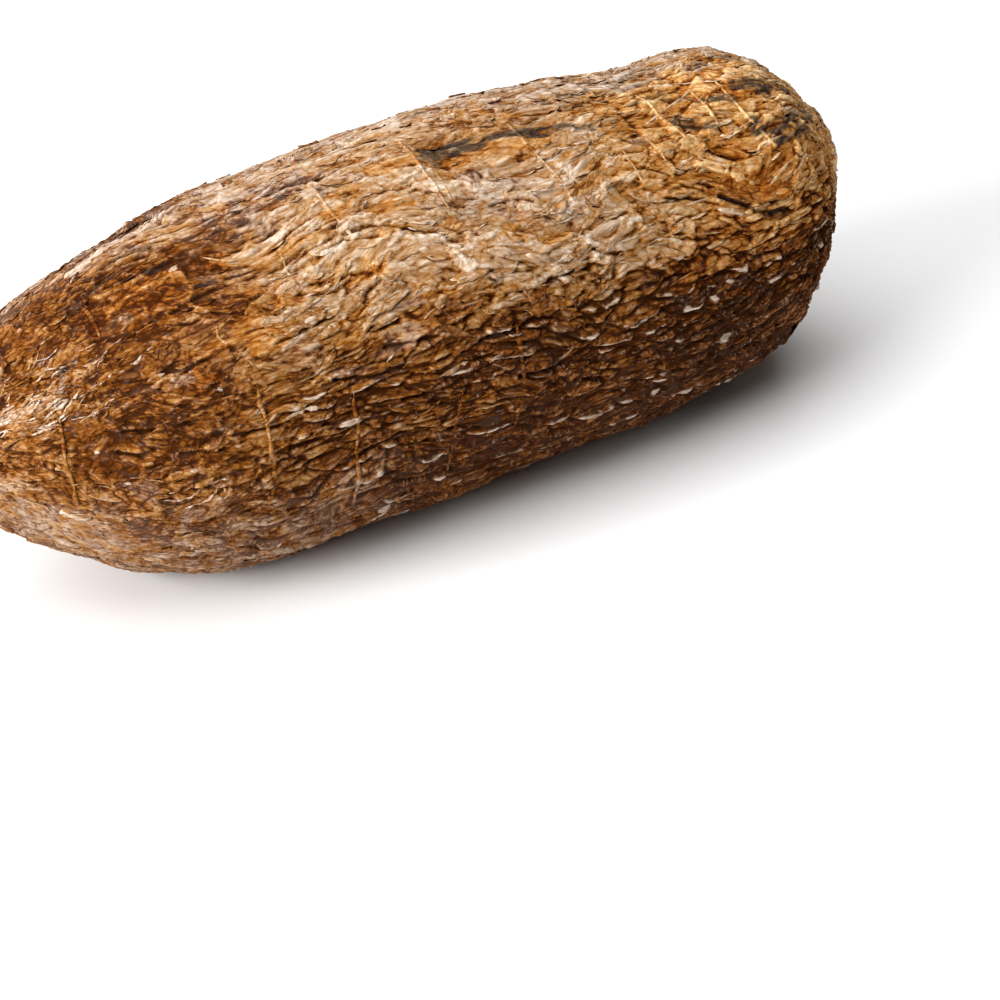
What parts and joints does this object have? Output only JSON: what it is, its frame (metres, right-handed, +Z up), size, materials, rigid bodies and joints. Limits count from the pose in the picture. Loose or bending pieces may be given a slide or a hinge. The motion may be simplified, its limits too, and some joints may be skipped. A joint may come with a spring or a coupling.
{
  "type": "cassava root",
  "caption": "Whole cassava root: a blunt, slightly bowed spindle with rough, flaking brown bark, lying on its side on a small flat of its underside.",
  "frame": {"origin": "middle of the underside, on the surface the root lies on", "axes": "+X along the root from the tail to the stem end, +Y across it, +Z up"},
  "size_m": [0.247, 0.087, 0.0848],
  "materials": {
    "bark": "dry, matt, flaking brown root bark: ochre plates, pale torn edges, dark brown furrows and a few grey-black streaks"
  },
  "bodies": {
    "root": {"cassava_root": "bark"}
  },
  "joints": []
}
